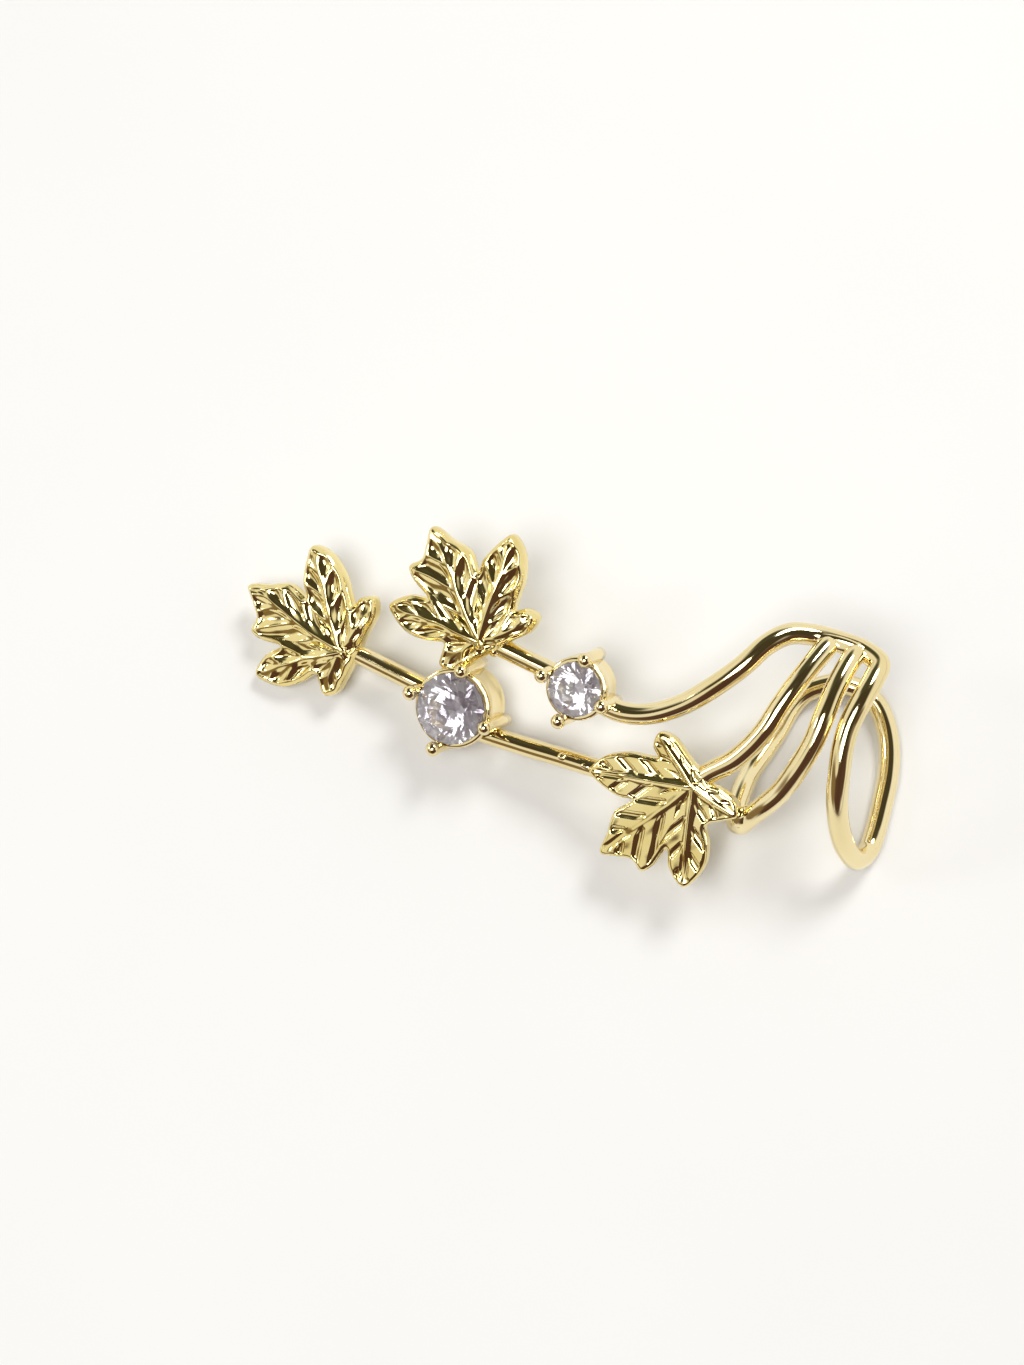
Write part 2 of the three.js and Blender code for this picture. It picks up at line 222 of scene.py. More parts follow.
# backing: how far below the girdle, in metres, the mirror of the pavilion and its painted facet
# reflections start and are full
stoneLook = {
    "crown": (1.0, 0.985, 0.99), "index": 1.8, "backing": (0.0001, 0.0003), "shine": 0.45,
    "paintedFacetScale": 1500.0,
    # tones of the painted facet reflections, from a dark purple grey to white
    "tones": (
        (0.0, (0.46, 0.41, 0.47)), (0.25, (0.78, 0.74, 0.82)),
        (0.55, (0.88, 0.86, 0.90)), (0.8, (0.96, 0.95, 0.96)))}


def crystalWithPaintedFacets():
    # a clear crown over a pavilion that is part mirror: under the girdle its colour is a painted
    # reflection of the facets, tiles of even tones from white to a purple grey; above it is clear
    # with a breath of pink
    material, nodes, links, shader, place = nodeMaterial("crystalWithPaintedFacets")
    axis = turnToRest[:, 2]
    girdle = float(toModel([(0, 0, 0)])[0] @ axis)
    height = nodes.new("ShaderNodeVectorMath")
    height.operation = "DOT_PRODUCT"
    height.inputs[1].default_value = tuple(axis)
    links.new(place.outputs["Object"], height.inputs[0])
    below = nodes.new("ShaderNodeMapRange")
    below.inputs["From Min"].default_value = girdle - stoneLook["backing"][0]
    below.inputs["From Max"].default_value = girdle - stoneLook["backing"][1]
    links.new(height.outputs["Value"], below.inputs["Value"])
    # painted reflection of the facets: each tile takes one tone, white to purple grey, in place of
    # its bright or dark reflection
    paintedFacetCells = nodes.new("ShaderNodeTexVoronoi")
    paintedFacetCells.inputs["Scale"].default_value = stoneLook["paintedFacetScale"]
    links.new(place.outputs["Object"], paintedFacetCells.inputs["Vector"])
    parts = nodes.new("ShaderNodeSeparateColor")
    links.new(paintedFacetCells.outputs["Color"], parts.inputs["Color"])
    tones = toneRamp(nodes, links, parts.outputs["Red"], stoneLook["tones"])
    mix = nodes.new("ShaderNodeMix")
    mix.data_type = "RGBA"
    mix.inputs["A"].default_value = (*stoneLook["crown"], 1)
    links.new(below.outputs["Result"], mix.inputs["Factor"])
    links.new(tones, mix.inputs["B"])
    links.new(mix.outputs["Result"], shader.inputs["Base Color"])
    shine = nodes.new("ShaderNodeMath")
    shine.operation = "MULTIPLY"
    shine.inputs[1].default_value = stoneLook["shine"]
    links.new(below.outputs["Result"], shine.inputs[0])
    links.new(shine.outputs["Value"], shader.inputs["Metallic"])
    clear = nodes.new("ShaderNodeMath")
    clear.operation = "SUBTRACT"
    clear.inputs[0].default_value = 1.0
    links.new(below.outputs["Result"], clear.inputs[1])
    links.new(clear.outputs["Value"], shader.inputs["Transmission Weight"])
    shader.inputs["Roughness"].default_value = 0.0
    shader.inputs["IOR"].default_value = stoneLook["index"]
    return material


crystal = crystalWithPaintedFacets()
for nodeName in ("large_stone", "small_stone"):
    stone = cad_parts[nodeName]
    stone.data.materials.clear()
    stone.data.materials.append(crystal)
print("finishes made")

# the wires

# where things stand round the large stone: distances in mm and turns in degrees; the second stem's
# are measured from the small stone
layout = {
    "stoneSpacing": 7.31, "stoneTurn": 11.4,
    "firstStem": (7.21, 156.2), "secondStem": (5.96, 156.9), "link": (14.11, -14.2),
    "largeStone": 4.0, "smallStone": 3.0, "stemDrop": 1.015}
largePlace = np.zeros(3)
smallPlace = polar(layout["stoneSpacing"], layout["stoneTurn"])
firstLeafPlace = polar(*layout["firstStem"])
secondLeafPlace = polar(*layout["secondStem"]) + smallPlace
thirdLeafPlace = polar(*layout["link"])


def atDepth(place, depth):
    # the place, moved straight under the girdles' plane
    return np.array([place[0], place[1], -depth])


# what all the wires share: points round, how far the radius breathes and how fast along the wire,
# the turns at which the rounded ends have their rings, and the directions tried for the guide
wireForm = {
    "sides": 60, "sway": 0.012, "swayRates": (1.7, 0.63), "endTurns": (86, 70, 52, 34, 17),
    "guides": 400}


def roundWire(path, diameter, sides=wireForm["sides"]):
    # a circle carried along the path, square to it, with rounded ends; its radius breathes by a
    # hundredth as drawn wire does after bending. The circle's start is squared with a guide: the
    # one of many even directions that the path never comes near.
    radius = diameter / 2
    tangent = unit(np.gradient(path, axis=0))
    tries = wireForm["guides"] + 1
    spread = np.arange(1, tries)
    lift = 1 - 2 * spread / tries
    around = spread * math.pi * (3 - math.sqrt(5))
    flat = np.sqrt(1 - lift ** 2)
    guides = np.stack([flat * np.cos(around), flat * np.sin(around), lift], axis=1)
    guide = guides[np.abs(guides @ tangent.T).max(axis=1).argmin()]
    side = unit(np.cross(guide, tangent))
    other = np.cross(tangent, side)
    length = np.concatenate([[0], np.cumsum(np.linalg.norm(np.diff(path, axis=0), axis=1))])
    fast, slow = wireForm["swayRates"]
    swell = radius * (1 + wireForm["sway"] * np.sin(length * fast) * np.sin(length * slow + 1))
    opening = np.radians(wireForm["endTurns"])
    closing = opening[::-1]
    start = path[:1] - tangent[:1] * radius * np.sin(opening)[:, None]
    end = path[-1:] + tangent[-1:] * radius * np.sin(closing)[:, None]
    middle = np.concatenate([start, path, end])
    reach = np.concatenate([swell[0] * np.cos(opening), swell, swell[-1] * np.cos(closing)])
    more = ((len(opening), len(closing)), (0, 0))
    side, other = np.pad(side, more, "edge"), np.pad(other, more, "edge")
    angle = np.linspace(0, 2 * math.pi, sides, endpoint=False)[None, :, None]
    ring = side[:, None] * np.cos(angle) + other[:, None] * np.sin(angle)
    return middle[:, None] + ring * reach[:, None, None]


# seat and drops are shares of the stone's size
stemSizes = {
    "diameter": 1.06, "seat": 0.42, "firstDrop": 0.34, "secondDrop": 0.4, "linkDrop": 0.38,
    "linkTurn": -56, "stemSteps": 30, "linkSteps": 16}


def seatIn(place, stone, turn, drop):
    # where a wire's end sits in a cup: out from the stone's middle, and below its girdle
    return place + polar(stemSizes["seat"] * stone, turn, -drop)


firstSeat = seatIn(largePlace, layout["largeStone"], layout["firstStem"][1],
                   stemSizes["firstDrop"] * layout["largeStone"])
firstStemPath = smoothCurve(
    [atDepth(firstLeafPlace, layout["stemDrop"]), firstSeat], stemSizes["stemSteps"])
skin("stemLeft", [roundWire(firstStemPath, stemSizes["diameter"])], wireGold)

secondSeat = seatIn(smallPlace, layout["smallStone"], layout["secondStem"][1],
                    stemSizes["secondDrop"] * layout["smallStone"])
secondStemPath = smoothCurve(
    [atDepth(secondLeafPlace, layout["stemDrop"]), secondSeat], stemSizes["stemSteps"])
skin("stemTop", [roundWire(secondStemPath, stemSizes["diameter"])], wireGold)

# the link wire's route: shares of the link's length, turns, and shares of the stems' depth
linkRoute = (
    (0.314, -28.0, 1.34), (0.441, -23.3, 1.26), (0.544, -21.2, 1.18), (0.624, -20.0, 1.1),
    (0.79, -17.8, 1))
linkPoints = [seatIn(largePlace, layout["largeStone"], stemSizes["linkTurn"],
                     stemSizes["linkDrop"] * layout["largeStone"])]
linkPoints += [polar(layout["link"][0] * reach, turn, -layout["stemDrop"] * drop)
               for reach, turn, drop in linkRoute]
linkPath = smoothCurve(linkPoints, stemSizes["linkSteps"])
skin("linkWire", [roundWire(linkPath, stemSizes["diameter"])], wireGold)

# sizes in mm; seatDrop is a share of the depth
cuffSizes = {
    "wire": 1.16, "reach": 23.0, "height": 12.5, "depth": 9.1, "seatTurn": -40, "seatDrop": 0.13,
    "steps": 12, "sides": 72}

# the outer wire goes out along the top, over the front, behind the ear and back up the front:
# shares of the cuff's reach, height and depth
outerRoute = np.array([
    (0.42, 0.013, 0.121), (0.481, 0.015, 0.121), (0.558, 0.062, 0.121), (0.629, 0.141, 0.121),
    (0.699, 0.24, 0.143), (0.75, 0.331, 0.209), (0.794, 0.371, 0.286), (0.841, 0.366, 0.341),
    (0.904, 0.339, 0.363), (0.961, 0.306, 0.352), (1.0, 0.26, 0.297), (0.995, 0.204, 0.22),
    (0.975, 0.122, 0.143), (0.952, 0.024, 0.099), (0.939, -0.076, 0.077), (0.932, -0.191, 0.077),
    (0.925, -0.303, 0.121), (0.922, -0.431, 0.231), (0.927, -0.553, 0.385), (0.941, -0.622, 0.549),
    (0.956, -0.603, 0.681), (0.966, -0.533, 0.758), (0.976, -0.417, 0.829), (0.984, -0.295, 0.893),
    (0.982, -0.186, 0.945), (0.969, -0.084, 0.985), (0.944, 0.004, 1.012), (0.902, 0.067, 1.015),
    (0.855, 0.091, 0.996), (0.809, 0.077, 0.961), (0.774, 0.046, 0.921), (0.745, -0.018, 0.865),
    (0.723, -0.111, 0.79), (0.701, -0.188, 0.702), (0.68, -0.266, 0.592), (0.67, -0.336, 0.471),
    (0.667, -0.398, 0.374), (0.673, -0.448, 0.297), (0.692, -0.452, 0.22), (0.721, -0.406, 0.15),
    (0.754, -0.354, 0.11), (0.798, -0.277, 0.088), (0.836, -0.179, 0.066), (0.872, -0.061, 0.066),
    (0.894, 0.053, 0.088), (0.912, 0.157, 0.154), (0.93, 0.24, 0.235), (0.943, 0.292, 0.307),
    (0.951, 0.314, 0.372)])
# the middle wire goes from the top bar down to the third leaf, in the same shares
middleRoute = np.array([
    (0.889, 0.344, 0.38), (0.881, 0.325, 0.32), (0.863, 0.28, 0.258), (0.834, 0.202, 0.176),
    (0.792, 0.082, 0.11), (0.754, -0.034, 0.088), (0.691, -0.152, 0.088), (0.618, -0.233, 0.11)])
routeSize = np.array([cuffSizes["reach"], cuffSizes["height"], -cuffSizes["depth"]])
outerSeat = seatIn(smallPlace, layout["smallStone"], cuffSizes["seatTurn"],
                   cuffSizes["seatDrop"] * cuffSizes["depth"])
outerPath = smoothCurve(
    np.concatenate([outerSeat[None], outerRoute * routeSize]), cuffSizes["steps"])
skin("outerWire", [roundWire(outerPath, cuffSizes["wire"], cuffSizes["sides"])], wireGold)
middleEnd = atDepth(thirdLeafPlace, layout["stemDrop"])
middlePath = smoothCurve(
    np.concatenate([middleRoute * routeSize, middleEnd[None]]), cuffSizes["steps"])
skin("middleWire", [roundWire(middlePath, cuffSizes["wire"], cuffSizes["sides"])], wireGold)

# the leaves

# lengths in mm; the basal lobes are the two short ones by the stem, and leanRise and leanFall are
# the directions in degrees between which the last of them may lean
leafSizes = {
    "length": 6.8, "thickness": 0.85, "drop": 0.42, "rimRound": 0.22,
    "basalReach": 0.6, "basalPitch": 0.72, "basalHollow": 0.45,
    "leanRise": (70, 82), "leanFall": (124, 150),
    "steps": 620, "rings": 104, "ringCrowding": 1.15, "outlineSteps": 40, "blocks": 26}
# the wall under the rim: share of the way down, and how far it stands out
leafWall = ((0.1, 0.01), (0.35, 0.02), (0.75, 0.02), (0.92, 0.0), (1.0, -0.1))
leafBack = (0.8, 0.5, 0.2)  # the rings of the back, as shares of the rim

# what the relief of every leaf shares. Ribs narrow by ribTaper, start at ribStart and wind at
# curlRate. Veins fade by veinFade to the tip and over veinRim to the rim. Hollows keep
# hollowPoint of their width at their ends, and those of the tips come and go along the lobe.
# Then the number of the casting's waves and their scale, and how far in from the rim the cup,
# the lip and the start of the relief reach.
reliefForm = {
    "ribTaper": 0.55, "ribStart": -0.2, "curlRate": 0.9, "veinFade": 0.35, "veinRim": (0.0, 0.35),
    "hollowPoint": 0.35, "tipRise": (0.6, 0.72), "tipFall": (0.84, 0.95),
    "waves": 26, "waveScale": 5, "cupReach": 0.7, "lipWidth": 0.1, "reliefRim": (0.04, 0.3)}

# the outline, going round from the stem: direction from the middle lobe in degrees, and reach
leafOutline = np.array([
    (-150, 0.14), (-128, 0.17), (-113, 0.26), (-103, 0.42), (-92, 0.51), (-80, 0.46), (-73, 0.37),
    (-67, 0.44), (-60, 0.62), (-51, 0.8), (-42, 0.89), (-37, 0.82), (-27, 0.66), (-21.5, 0.54),
    (-16.5, 0.72), (-7, 0.85), (0, 1.0), (6, 0.91), (13.5, 0.83), (21.5, 0.86), (25.5, 0.77),
    (29.5, 0.58), (36.5, 0.73), (46.5, 0.85), (53, 0.78), (61, 0.65), (66, 0.49), (70, 0.34),
    (81, 0.37), (94, 0.43), (107, 0.38), (124, 0.22), (150, 0.14), (180, 0.12)])
# each lobe's midrib: direction, and reach of its tip
lobes = ((0, 1.0), (-42, 0.89), (46.5, 0.85), (-92, 0.51), (94, 0.43))


def lean(direction, style):
    # the last lobe of a leaf may stand further from the middle one
    share = smoothStep(*leafSizes["leanRise"], direction)
    share = share * (1 - smoothStep(*leafSizes["leanFall"], direction))
    return direction + style["lastLean"] * float(share)


def leafRelief(x, y, edge, style):
    # height over the flat of the face. Every point belongs to the lobe whose midrib points at it
    # most nearly. The midrib is a narrow ridge that sinks towards the tip. Side veins leave it
    # forwards and outwards, evenly spaced: thin ridges, with a hollow between each two that is
    # deepest half-way out and comes to a point at both ends. The three long lobes may have one more
    # hollow along their tips.
    form = reliefForm
    turn = np.degrees(np.arctan2(y, x))
    spread = np.radians(style["veinTurn"])
    ribs, ribShare, herring, tips = (np.zeros_like(x) for _ in range(4))
    nearest = np.full(x.shape, np.inf)
    for index, (direction, reach) in enumerate(lobes):
        direction = lean(direction, style)
        angle = math.radians(direction)
        along = x * math.cos(angle) + y * math.sin(angle)
        across = y * math.cos(angle) - x * math.sin(angle)
        bend = style["curl"] * np.sin(along * form["curlRate"] + index)
        off = np.abs(across - bend)
        share = np.clip(along / (reach * leafSizes["length"]), 0, 1)
        basal = reach < leafSizes["basalReach"]
        rise = style["ribRise"] * (style["basalRib"] if basal else 1)
        rise = rise * (style["middleRib"] if index == 0 else 1)
        ridge = np.exp(-(off / (style["ribWidth"] * (1 - form["ribTaper"] * share))) ** 2)
        rib = rise * ridge * (1 - share ** 2) * (along > form["ribStart"])
        ribs = np.maximum(ribs, rib)
        ribShare = np.maximum(ribShare, ridge * (along > 0))
        pitch = style["pitch"] * (leafSizes["basalPitch"] if basal else 1)
        stagger = np.where(across > bend, 0.0, style["stagger"])
        phase = (along - off / np.tan(spread)) / pitch + stagger
        fromVein = np.abs(phase - np.round(phase)) * pitch * math.sin(spread)
        half = 0.5 * pitch * math.sin(spread)
        vein = style["veinRise"] * np.exp(-(fromVein / style["veinWidth"]) ** 2)
        vein = vein * smoothStep(*form["veinRim"], edge) * (1 - form["veinFade"] * share)
        ends = smoothStep(*style["hollowRoot"], off) * smoothStep(*style["hollowRim"], edge)
        opening = form["hollowPoint"] + (1 - form["hollowPoint"]) * ends
        fromMiddle = (half - fromVein) / (half * style["hollowWidth"] * opening)
        hollow = style["hollow"] * (leafSizes["basalHollow"] if basal else 1)
        hollow = hollow * np.clip(1 - fromMiddle ** 2, 0, 1) * ends
        if not basal:
            tip = np.clip(1 - (off / style["tipWidth"]) ** 2, 0, 1)
            tip = tip * smoothStep(*form["tipRise"], share)
            tip = tip * (1 - smoothStep(*form["tipFall"], share))
            tips = np.maximum(tips, style["tipHollow"] * tip)
        away = np.abs((turn - direction + 180) % 360 - 180)
        herring = np.where(away < nearest, vein - hollow, herring)
        nearest = np.minimum(nearest, away)
    # cast metal is never quite even: a sum of slow waves in all directions
    rng = np.random.default_rng(style["seed"])
    waves = np.zeros_like(x)
    for _ in range(form["waves"]):
        heading = rng.uniform(0, 2 * math.pi)
        size = rng.uniform(*style["lumpSize"])
        start = rng.uniform(0, 6.28)  # a full turn, near enough
        along = x * math.cos(heading) + y * math.sin(heading)
        waves += np.sin(2 * math.pi * along / size + start)
    lumps = style["lumps"] * waves / form["waveScale"]
    cup = style["crown"] * (1 - np.exp(-edge / form["cupReach"]))
    lip = style["lip"] * np.exp(-((edge - leafSizes["rimRound"]) / form["lipWidth"]) ** 2)
    inside = smoothStep(*form["reliefRim"], edge)
    return (ribs + herring * (1 - ribShare) + lumps) * inside + cup + lip - tips


def leafShell(place, turn, style):
    # rings of the outline, shrunk towards the stem's end, make the face; the rim rolls over by a
    # quarter circle, the wall goes straight down, and a few rings close the flat back
    size = leafSizes["length"] * style["size"]
    corners = np.array([
        polar(reach * size, lean(direction, style))[:2] for direction, reach in leafOutline])
    fine = smoothCurve(corners, leafSizes["outlineSteps"], closed=True)
    ahead = np.roll(fine, -1, axis=0)
    walked = np.concatenate([[0], np.cumsum(np.linalg.norm(ahead - fine, axis=1))])
    marks = np.linspace(0, walked[-1], leafSizes["steps"], endpoint=False)
    loop = np.concatenate([fine, fine[:1]])
    rim = np.stack([np.interp(marks, walked, loop[:, k]) for k in range(2)], axis=1)
    outward = np.roll(rim, -1, axis=0) - np.roll(rim, 1, axis=0)
    outward = unit(np.stack([outward[:, 1], -outward[:, 0]], axis=1))
    share = np.linspace(0, 1, leafSizes["rings"] + 1)[1:]
    share = 1 - (1 - share) ** leafSizes["ringCrowding"]
    flat = share[:, None, None] * rim[None]
    # each point's distance from the rim, a block of rings at a time
    edge = np.concatenate([
        np.sqrt(((block[:, :, None] - rim[None, None]) ** 2).sum(-1)).min(-1)
        for block in np.array_split(flat, leafSizes["blocks"])])
    curve = leafSizes["rimRound"]
    sunk = np.sqrt(np.clip(curve ** 2 - (curve - edge) ** 2, 0, None)) - curve
    roll = np.where(edge < curve, sunk, 0)
    height = leafRelief(flat[..., 0], flat[..., 1], edge, style) + roll
    face = np.concatenate([flat, height[..., None]], axis=-1)
    foot = -leafSizes["thickness"]
    wall = []
    for sink, out in leafWall:
        level = np.full((len(rim), 1), -curve + (foot + curve) * sink)
        wall.append(np.concatenate([rim + outward * out, level], axis=1))
    level = np.full((len(rim), 1), foot)
    back = [np.concatenate([rim * part, level], axis=1) for part in leafBack]
    shell = np.concatenate([face, np.stack(wall), np.stack(back)])
    return shell @ aboutZ(turn).T + atDepth(place, leafSizes["drop"])


# the first two leaves have raised veins, the third has scooped hollows in a flat face
veined = {
    "size": 1.0, "seed": 4, "lastLean": 0, "ribRise": 0.26, "ribWidth": 0.3, "middleRib": 1,
    "basalRib": 0.6, "curl": 0.1, "veinTurn": 42, "pitch": 1.5, "stagger": 0.5, "veinRise": 0.12,
    "veinWidth": 0.24, "hollow": 0.08, "hollowWidth": 0.9, "hollowRoot": (0.06, 0.5),
    "hollowRim": (0.15, 0.6), "tipHollow": 0, "tipWidth": 0.2, "crown": 0.16, "lip": 0.06,
    "lumps": 0.05, "lumpSize": (1.3, 2.4)}
scooped = {
    "size": 0.97, "seed": 9, "lastLean": 15, "ribRise": 0.15, "ribWidth": 0.2, "middleRib": 0.25,
    "basalRib": 1.1, "curl": 0.03, "veinTurn": 42, "pitch": 1.42, "stagger": 0.35, "veinRise": 0,
    "veinWidth": 0.2, "hollow": 0.11, "hollowWidth": 0.5, "hollowRoot": (0.1, 0.4),
    "hollowRim": (0.06, 0.26), "tipHollow": 0.1, "tipWidth": 0.25, "crown": 0.03, "lip": 0,
    "lumps": 0.018, "lumpSize": (0.9, 1.8)}

# name, where the stem ends, the direction of the middle lobe, and the style
leaves = (
    ("leafLeft", firstLeafPlace, 150.1, veined),
    ("leafTop", secondLeafPlace, 115.8, {**veined, "seed": 17, "lumps": 0.04}),
    ("leafLower", thirdLeafPlace, -142.1, scooped))
for leafName, place, turn, style in leaves:
    skin(leafName, [leafShell(place, turn, style)], castGold)

# the settings

# the cup's profile in four runs: over the inner edge, in mm out and up; over the outer edge, in
# shares of the outer radius and mm up; down the outside, in shares of the outer radius and the
# depth; and up the bore, in shares of the stone's radius and the depth. A post's profile from its
# foot up, in shares of its own radius and the depth
settingSizes = {
    "gap": 0.1, "prong": 0.64, "bead": 0.82, "beadRise": 0.5, "beadLean": 0.08, "leanStart": -0.3,
    "neck": 0.97, "beadTop": 0.04, "cupWall": 0.17, "rimDrop": 0.3, "depthShare": 1.36,
    "foot": 1.15, "footEdge": 0.8, "footRise": 0.1, "pin": 0.05, "largeTurn": -21, "smallTurn": -24,
    "innerEdge": ((0, 0), (0.05, 0.03)), "outerEdge": ((0.95, 0.03), (0.98, -0.03), (1, -0.2)),
    "outside": ((0.975, 0.5), (0.975, 0.7), (1, 0.86), (0.985, 0.96), (0.93, 1)),
    "bore": ((0.5, 1), (0.45, 0.97), (0.45, 0.75)), "post": ((1.08, 0.6), (1.02, 0.3), (1, 0)),
    "cupSteps": 5, "cupSides": 96, "postSides": 40, "beadRings": 22}


def turned(profile, sides):
    # a profile of radius and height carried round the axis
    angle = np.linspace(0, 2 * math.pi, sides, endpoint=False)
    radius, height = profile[:, :1], profile[:, 1:]
    return np.stack([radius * np.cos(angle), radius * np.sin(angle), height + 0 * angle], axis=-1)


def openCup(stone):
    # wall, foot and bore of the cup in one closed profile; the last row meets the first
    sizes = settingSizes
    radius = stone / 2
    depth = sizes["depthShare"] * radius
    wall = radius + sizes["gap"] + sizes["prong"] / 4
    lip = -sizes["rimDrop"]
    rows = [(radius - sizes["cupWall"] + out, lip + up) for out, up in sizes["innerEdge"]]
    rows += [(wall * share, lip + up) for share, up in sizes["outerEdge"]]
    rows += [(wall * share, -depth * down) for share, down in sizes["outside"]]
    rows += [(radius * share, -depth * down) for share, down in sizes["bore"]]
    fine = smoothCurve(rows, sizes["cupSteps"])
    return turned(np.concatenate([fine, np.array(rows[:1])]), sizes["cupSides"])


def clawPost(stone, turn):
    # a straight post that swells a little to its foot and ends in a ball that leans over the stone
    sizes = settingSizes
    axis = stone / 2 + sizes["gap"] + sizes["prong"] / 2
    depth = sizes["depthShare"] * stone / 2
    thick, ball, rise = sizes["prong"] / 2, sizes["bead"] / 2, sizes["beadRise"]
    rows = [(sizes["pin"], -depth), (thick * sizes["footEdge"], -depth),
            (thick * sizes["foot"], -depth + sizes["footRise"])]
    rows += [(thick * share, -depth * down) for share, down in sizes["post"]]
    neck = math.asin(thick * sizes["neck"] / ball)
    ballTurn = np.linspace(math.pi - neck, sizes["beadTop"], sizes["beadRings"])
    bead = np.stack([ball * np.sin(ballTurn), rise + ball * np.cos(ballTurn)], axis=1)
    shell = turned(np.concatenate([np.array(rows), bead]), sizes["postSides"])
    tilt = sizes["beadLean"] * smoothStep(sizes["leanStart"], rise, shell[..., 2:])
    return shell + polar(1, turn) * (axis - tilt)


def setting(name, place, stone, firstTurn):
    # a cup and four posts, a quarter turn apart
    claws = [clawPost(stone, firstTurn + 90 * k) + place for k in range(4)]
    skin(name, [openCup(stone) + place, *claws], wireGold)


setting("settingLarge", largePlace, layout["largeStone"], settingSizes["largeTurn"])
setting("settingSmall", smallPlace, layout["smallStone"], settingSizes["smallTurn"])

# solder along the top bar, where it is dressed flat, in its notches, at the leaves and on the link
# wire: place, half sizes and turn, in mm and degrees, and how flat the top is from 0 to 1
solderDrops = (
    ((20.85, 4.2, -2.95), (1.75, 0.42, 0.34), -15, 0.7),
    ((19.45, 4.45, -3.0), (0.42, 0.34, 0.42), -15, 0),
    ((21.0, 4.15, -3.1), (0.5, 0.4, 0.5), -15, 0),
    ((22.25, 3.62, -3.0), (0.36, 0.36, 0.42), -30, 0),
    ((1.95, 3.5, -0.62), (0.36, 0.3, 0.3), 20, 0),
    ((2.3, 3.2, -0.75), (0.34, 0.28, 0.28), 10, 0),
    ((1.35, 3.6, -0.45), (0.38, 0.22, 0.2), 15, 0),
    ((6.2, -2.45, -1.0), (0.34, 0.3, 0.32), -20, 0),
    ((7.6, -2.85, -0.92), (0.5, 0.32, 0.3), -15, 0),
    ((16.35, -5.0, -1.14), (0.8, 0.5, 0.32), 41, 0))
# rings and points round, the angle left open at the poles, the heights of the two waves round and
# from pole to pole, and how far the second moves on from drop to drop
dropForm = {
    "rings": 22, "sides": 36, "pole": 0.05, "sideWave": 0.07, "tallWave": 0.05, "waveStep": 1.7}


def solderDrop(middle, half, turn, flatness, seed):
    # a ball with slow waves in its radius, its height raised to a power below one where its top is
    # dressed flat, then stretched to its half sizes
    down = np.linspace(dropForm["pole"], math.pi - dropForm["pole"], dropForm["rings"])[:, None]
    around = np.linspace(0, 2 * math.pi, dropForm["sides"], endpoint=False)[None]
    wave = 1 + dropForm["sideWave"] * np.sin(2 * around + seed) * np.sin(down)
    wave = wave + dropForm["tallWave"] * np.sin(3 * down + seed * dropForm["waveStep"])
    height = np.sign(np.cos(down)) * np.abs(np.cos(down)) ** (1 - flatness)
    x, y = np.sin(down) * np.cos(around), np.sin(down) * np.sin(around)
    ball = np.stack([x, y, height + 0 * around], axis=-1)
    return ball * wave[..., None] * np.array(half) @ aboutZ(turn).T + np.array(middle)


skin("solderDrops", [solderDrop(*drop, seed) for seed, drop in enumerate(solderDrops)], wireGold)

# the table, light and camera

tableLook = {
    "tones": ((0, (0.80, 0.80, 0.797)), (1, (0.825, 0.825, 0.822))), "toneScale": 60.0,
    "roughness": 0.7, "specular": 0.2, "half": 2.0}


def paleTable():
    # one square at the height of the lowest point of the cuff, with faint clouds
    material, nodes, links, shader, place = nodeMaterial("paleTable")
    tone = cloudiness(nodes, links, place, tableLook["toneScale"], 2)
    links.new(toneRamp(nodes, links, tone, tableLook["tones"]), shader.inputs["Base Color"])
    shader.inputs["Roughness"].default_value = tableLook["roughness"]
    shader.inputs["Specular IOR Level"].default_value = tableLook["specular"]
    half = tableLook["half"]
    corners = [(-half, -half, 0), (half, -half, 0), (half, half, 0), (-half, half, 0)]
    mesh = bpy.data.meshes.new("table")
    mesh.from_pydata(corners, [], [(0, 1, 2, 3)])
    mesh.materials.append(material)
    table = bpy.data.objects.new("table", mesh)
    bpy.context.scene.collection.objects.link(table)


paleTable()

# the room round the cuff: bright walls, dark above, to the north and to the south, brown low in
# the west, and one bright pane. Patches' middles, half angles from full to none, and colours
room = {
    "base": (0.97, 0.955, 0.92), "strength": 1.0,
    "patches": (
        ((-0.05, -0.08, 0.995), (38, 54), (0.06, 0.05, 0.03)),
        ((-0.22, 0.75, 0.62), (14, 28), (0.075, 0.075, 0.045)),
        ((0.02, -0.88, 0.47), (24, 38), (0.09, 0.045, 0.035)),
        ((-0.48, -0.72, 0.50), (15, 27), (0.10, 0.055, 0.04)),
        ((0.56, -0.66, 0.50), (15, 28), (0.10, 0.055, 0.04)),
        ((-0.80, -0.56, 0.10), (18, 36), (0.24, 0.17, 0.09)),
        ((-0.569, -0.404, 0.717), (11, 18), (0.90, 0.88, 0.83)))}


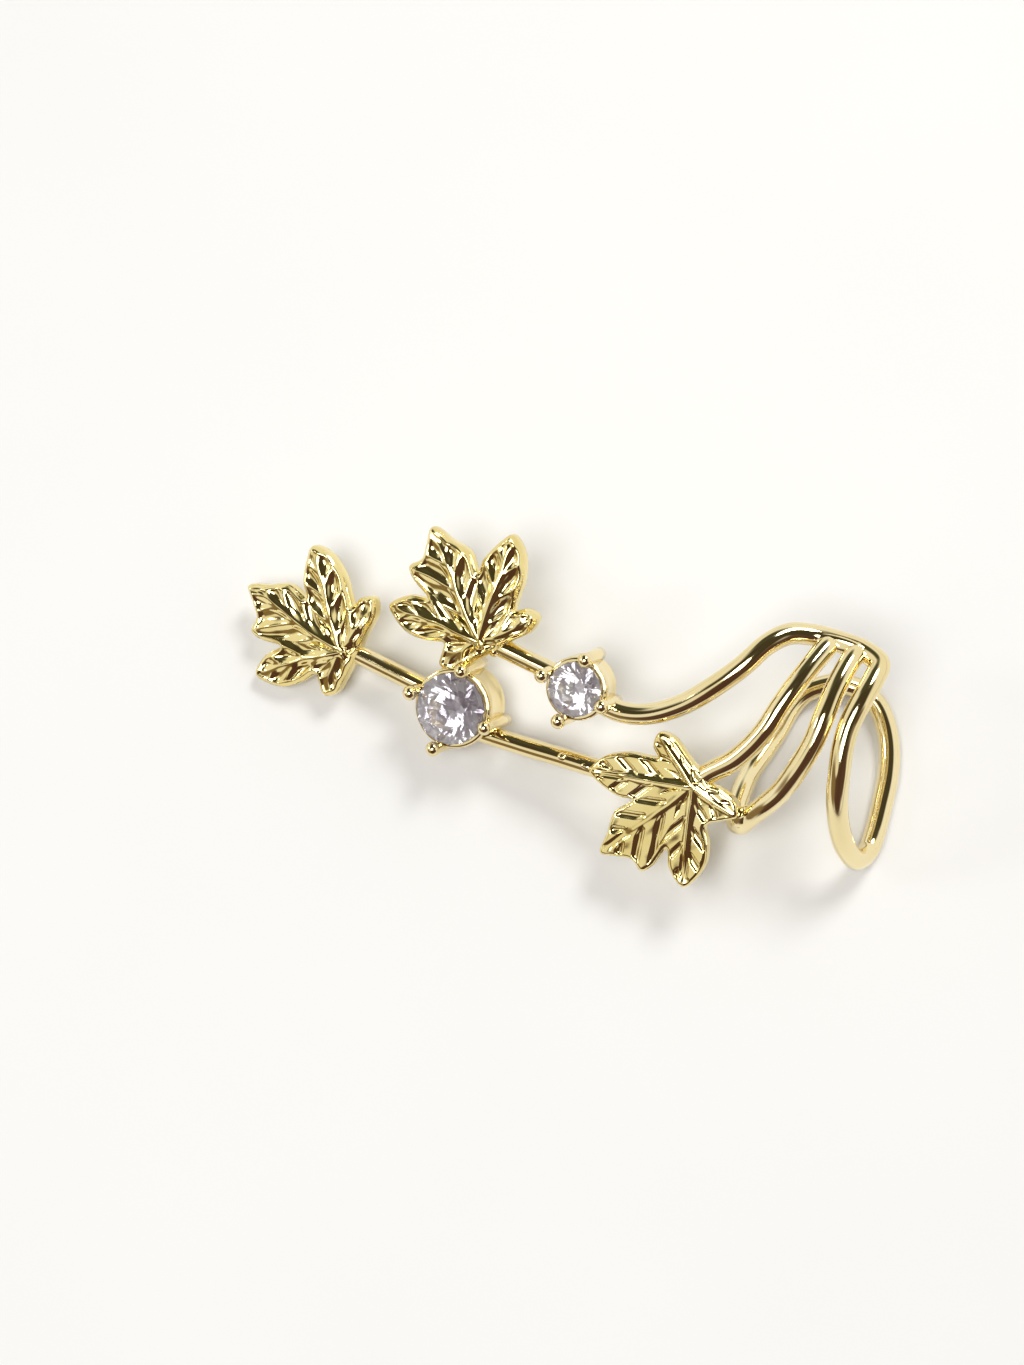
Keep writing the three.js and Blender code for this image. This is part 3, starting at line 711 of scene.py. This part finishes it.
def studioRoom():
    # each patch blends in by the angle between its middle and the direction looked in
    world = bpy.data.worlds.new("studioRoom")
    world.use_nodes = True
    bpy.context.scene.world = world
    nodes, links = world.node_tree.nodes, world.node_tree.links
    background = nodes["Background"]
    place = nodes.new("ShaderNodeTexCoord")
    base = nodes.new("ShaderNodeRGB")
    base.outputs[0].default_value = (*room["base"], 1)
    last = base.outputs[0]
    for middle, (full, none), colour in room["patches"]:
        dot = nodes.new("ShaderNodeVectorMath")
        dot.operation = "DOT_PRODUCT"
        dot.inputs[1].default_value = tuple(unit(np.array(middle, float)))
        links.new(place.outputs["Generated"], dot.inputs[0])
        blend = nodes.new("ShaderNodeMapRange")
        blend.interpolation_type = "SMOOTHSTEP"
        blend.inputs["From Min"].default_value = math.cos(math.radians(none))
        blend.inputs["From Max"].default_value = math.cos(math.radians(full))
        links.new(dot.outputs["Value"], blend.inputs["Value"])
        mix = nodes.new("ShaderNodeMix")
        mix.data_type = "RGBA"
        links.new(blend.outputs["Result"], mix.inputs["Factor"])
        links.new(last, mix.inputs["A"])
        mix.inputs["B"].default_value = (*colour, 1)
        last = mix.outputs["Result"]
    links.new(last, background.inputs["Color"])
    background.inputs["Strength"].default_value = room["strength"]


studioRoom()


# each lamp's direction from the cuff, distance and width in metres, power in watts, and colour
lamps = {
    "ceilingLight": ((-0.15, -0.22, 0.96), 0.3, 0.155, 0.5, (1.0, 1.0, 1.0)),
    "windowLight": ((0.34, 0.56, 0.76), 0.3, 0.10, 0.38, (1.0, 0.99, 0.96)),
    "sideLight": ((-0.80, 0.10, 0.58), 0.3, 0.05, 0.07, (1.0, 1.0, 1.0))}


def softLight(name, direction, distance, size, power, colour):
    # a round lamp at its distance that faces the cuff
    lamp = bpy.data.lights.new(name, "AREA")
    lamp.shape = "DISK"
    lamp.size, lamp.energy, lamp.color = size, power, colour
    light = bpy.data.objects.new(name, lamp)
    way = unit(np.array(direction, float))
    light.location = tuple(way * distance)
    light.rotation_euler = Vector(way).to_track_quat("Z", "Y").to_euler()
    bpy.context.scene.collection.objects.link(light)


for lampName, lampRow in lamps.items():
    softLight(lampName, *lampRow)

# the camera's place and directions in the cuff's own frame, in mm, the focal length as a share of
# the picture's width, and the width of the film in mm
view = {
    "place": (44.24, 19.04, 110.57), "right": (0.9386, 0, -0.345), "back": (0.3413, 0.1460, 0.9286),
    "focalShare": 2200 / 1024, "sensor": 36.0, "clip": (0.005, 20)}


def photoCamera():
    # right is squared with back, and up follows from both
    lens = bpy.data.cameras.new("photoCamera")
    lens.sensor_fit, lens.sensor_width = "HORIZONTAL", view["sensor"]
    lens.lens = view["focalShare"] * view["sensor"]
    lens.clip_start, lens.clip_end = view["clip"]
    camera = bpy.data.objects.new("photoCamera", lens)
    back = unit(turnToRest @ np.array(view["back"]))
    right = turnToRest @ np.array(view["right"])
    right = unit(right - back * (right @ back))
    up = np.cross(back, right)
    place = toModel([view["place"]])[0]
    rows = [(*row, p) for row, p in zip(np.stack([right, up, back], axis=1), place)]
    camera.matrix_world = Matrix([*rows, (0, 0, 0, 1)])
    bpy.context.scene.collection.objects.link(camera)
    bpy.context.scene.camera = camera


photoCamera()
bpy.context.scene.view_settings.view_transform = "Standard"
print("table, light and camera set")

bpy.context.view_layer.update()
